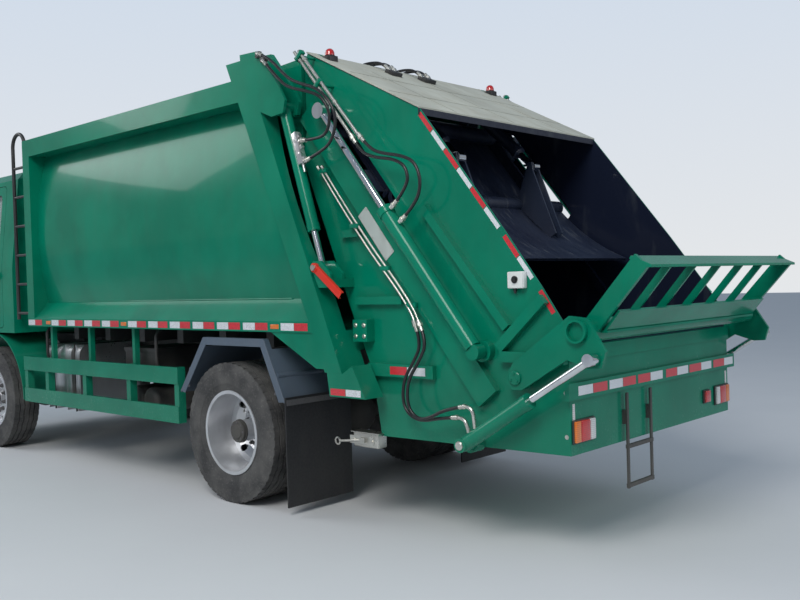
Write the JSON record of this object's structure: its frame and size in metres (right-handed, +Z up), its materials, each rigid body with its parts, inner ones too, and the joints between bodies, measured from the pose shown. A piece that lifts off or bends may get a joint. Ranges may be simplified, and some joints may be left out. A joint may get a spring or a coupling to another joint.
{
  "type": "garbage truck",
  "caption": "Rear-loading refuse truck with tilt cab, barrelled container, lifting tailgate with packer blade, and a bin lifter.",
  "frame": {"origin": "on the ground, at the middle of the vehicle's box", "axes": "+X towards the cab, +Y to the vehicle's left, +Z up"},
  "size_m": [8.4, 2.84, 3.15],
  "materials": {
    "green_paint": "gloss green paint",
    "frame_black": "satin black chassis paint",
    "guard_grey": "satin blue-grey paint",
    "roof_beige": "dusty beige grey paint",
    "inner_dark": "dark navy paint, worn",
    "steel_grey": "grey metal",
    "rim_silver": "silver wheel paint",
    "tyre_rubber": "dusty tyre rubber",
    "rubber": "matt black rubber",
    "black_plastic": "black moulded plastic",
    "tank_aluminium": "bright aluminium",
    "chrome_rod": "polished chrome",
    "window_glass": "clear glass",
    "lamp_clear": "clear lamp lens",
    "red_lens": "red lamp lens",
    "amber_lens": "amber lamp lens",
    "interior_dark": "dark trim"
  },
  "bodies": {
    "chassis": {"frame_rails": "frame_black", "leaf_springs": "frame_black", "front_axle": "frame_black", "rear_axle": "frame_black", "container_shell": "green_paint", "container_frame": "green_paint", "access_ladder": "frame_black", "marker_lamps": "amber_lens", "side_guards": "green_paint", "rear_mudguards": "guard_grey", "mud_flaps": "rubber", "fuel_tank": "tank_aluminium", "air_tanks": "frame_black", "battery_box": "black_plastic", "right_tanks": "frame_black", "engine_block": "steel_grey", "front_bumper": "green_paint", "towing_jaw": "frame_black", "headlamps": "lamp_clear", "front_mudguards": "green_paint"},
    "cab": {"cab_shell": "green_paint", "windscreen": "window_glass", "cab_interior": "interior_dark", "cab_mirrors": "black_plastic"},
    "left_door_body": {"left_door": "green_paint", "left_door_glass": "window_glass"},
    "right_door_body": {"right_door": "green_paint", "right_door_glass": "window_glass"},
    "left_steered": {"left_knuckle": "frame_black"},
    "right_steered": {"right_knuckle": "frame_black"},
    "front_left_wheel": {"front_left_rim": "rim_silver", "front_left_tyre": "tyre_rubber"},
    "front_right_wheel": {"front_right_rim": "rim_silver", "front_right_tyre": "tyre_rubber"},
    "rear_left_wheel": {"rear_left_rims": "rim_silver", "rear_left_tyres": "tyre_rubber"},
    "rear_right_wheel": {"rear_right_rims": "rim_silver", "rear_right_tyres": "tyre_rubber"},
    "ejector": {"ejector_panel": "green_paint"},
    "tailgate": {"tailgate_shell": "green_paint", "tailgate_beams": "green_paint", "tailgate_hood": "roof_beige", "tail_lamps": "red_lens", "rear_step": "frame_black", "slide_barrels": "green_paint"},
    "carriage_body": {"carriage": "inner_dark", "slide_rods": "chrome_rod"},
    "blade": {"packer_blade": "inner_dark"},
    "packer_barrel_body": {"packer_barrels": "inner_dark"},
    "packer_rod_body": {"packer_rods": "chrome_rod"},
    "lift_barrel_body": {"lift_barrels": "green_paint"},
    "lift_rod_body": {"lift_rods": "chrome_rod"},
    "lifter": {"bin_lifter": "green_paint"},
    "lifter_barrel_body": {"lifter_barrels": "green_paint"},
    "lifter_rod_body": {"lifter_rods": "chrome_rod"}
  },
  "joints": [
    {"name": "cab_tilt", "type": "hinge", "parent": "chassis", "child": "cab", "pos_m": [4.08, 0, 0.9], "axis": [0, 1, 0], "range_deg": [0, 45]},
    {"name": "left_door_hinge", "type": "hinge", "parent": "cab", "child": "left_door_body", "pos_m": [3.902, 1.1913, 1.9], "axis": [0, 0, -1], "range_deg": [0, 70]},
    {"name": "right_door_hinge", "type": "hinge", "parent": "cab", "child": "right_door_body", "pos_m": [3.902, -1.1913, 1.9], "axis": [0, 0, 1], "range_deg": [0, 70]},
    {"name": "steering", "type": "hinge", "parent": "chassis", "child": "left_steered", "pos_m": [3, 0.86, 0.506], "axis": [0, 0, 1], "range_deg": [-35, 35]},
    {"name": "right_steering", "type": "hinge", "parent": "chassis", "child": "right_steered", "pos_m": [3, -0.86, 0.506], "axis": [0, 0, 1], "range_deg": [-35, 35]},
    {"name": "front_left_spin", "type": "hinge", "parent": "left_steered", "child": "front_left_wheel", "pos_m": [3, 1.0785, 0.506], "axis": [0, 1, 0], "continuous": true},
    {"name": "front_right_spin", "type": "hinge", "parent": "right_steered", "child": "front_right_wheel", "pos_m": [3, -1.0785, 0.506], "axis": [0, 1, 0], "continuous": true},
    {"name": "rear_left_spin", "type": "hinge", "parent": "chassis", "child": "rear_left_wheel", "pos_m": [-1, 0.918, 0.506], "axis": [0, 1, 0], "continuous": true},
    {"name": "rear_right_spin", "type": "hinge", "parent": "chassis", "child": "rear_right_wheel", "pos_m": [-1, -0.918, 0.506], "axis": [0, 1, 0], "continuous": true},
    {"name": "ejector_slide", "type": "slide", "parent": "chassis", "child": "ejector", "axis": [-1, 0, 0], "range_m": [0, 2.9]},
    {"name": "tail_lift", "type": "hinge", "parent": "chassis", "child": "tailgate", "pos_m": [-1.72, 0, 3.08], "axis": [0, 1, 0], "range_deg": [0, 80]},
    {"name": "lift_barrel_turn", "type": "hinge", "parent": "chassis", "child": "lift_barrel_body", "pos_m": [-1.655, 0, 2.74], "axis": [0, 1, 0], "range_deg": [0, 90]},
    {"name": "lift_rod_slide", "type": "slide", "parent": "lift_barrel_body", "child": "lift_rod_body", "axis": [-0.2963, 0, -0.9551], "range_m": [0, 0.5]},
    {"name": "carriage_slide", "type": "slide", "parent": "tailgate", "child": "carriage_body", "axis": [-0.6225, 0, -0.7826], "range_m": [0, 0.8]},
    {"name": "blade_swing", "type": "hinge", "parent": "carriage_body", "child": "blade", "pos_m": [-2.43, 0, 2.09], "axis": [0, -1, 0], "range_deg": [0, 70]},
    {"name": "packer_barrel_turn", "type": "hinge", "parent": "carriage_body", "child": "packer_barrel_body", "pos_m": [-2.01825, 0, 2.84859], "axis": [0, -1, 0], "range_deg": [0, 20]},
    {"name": "packer_rod_slide", "type": "slide", "parent": "packer_barrel_body", "child": "packer_rod_body", "axis": [-0.7419, 0, -0.6705], "range_m": [0, 0.45]},
    {"name": "lifter_swing", "type": "hinge", "parent": "tailgate", "child": "lifter", "pos_m": [-3.43, 0, 1.01], "axis": [0, 1, 0], "range_deg": [-60, 8]},
    {"name": "lifter_barrel_turn", "type": "hinge", "parent": "tailgate", "child": "lifter_barrel_body", "pos_m": [-3.1, 0, 0.62], "axis": [0, 1, 0], "range_deg": [-35, 10]},
    {"name": "lifter_rod_slide", "type": "slide", "parent": "lifter_barrel_body", "child": "lifter_rod_body", "axis": [-0.852, 0, 0.5235], "range_m": [-0.35, 0.06]}
  ],
  "couplings": [
    {"joint": "right_steering", "follows": "steering", "ratio": 1},
    {"joint": "lift_barrel_turn", "follows": "tail_lift", "ratio": 1.0769},
    {"joint": "lift_rod_slide", "follows": "tail_lift", "m_per_rad": 0.30202},
    {"joint": "packer_barrel_turn", "follows": "blade_swing", "ratio": 0.081891},
    {"joint": "packer_rod_slide", "follows": "blade_swing", "m_per_rad": 0.27239},
    {"joint": "lifter_barrel_turn", "follows": "lifter_swing", "ratio": 0.50244},
    {"joint": "lifter_rod_slide", "follows": "lifter_swing", "m_per_rad": 0.27696}
  ]
}
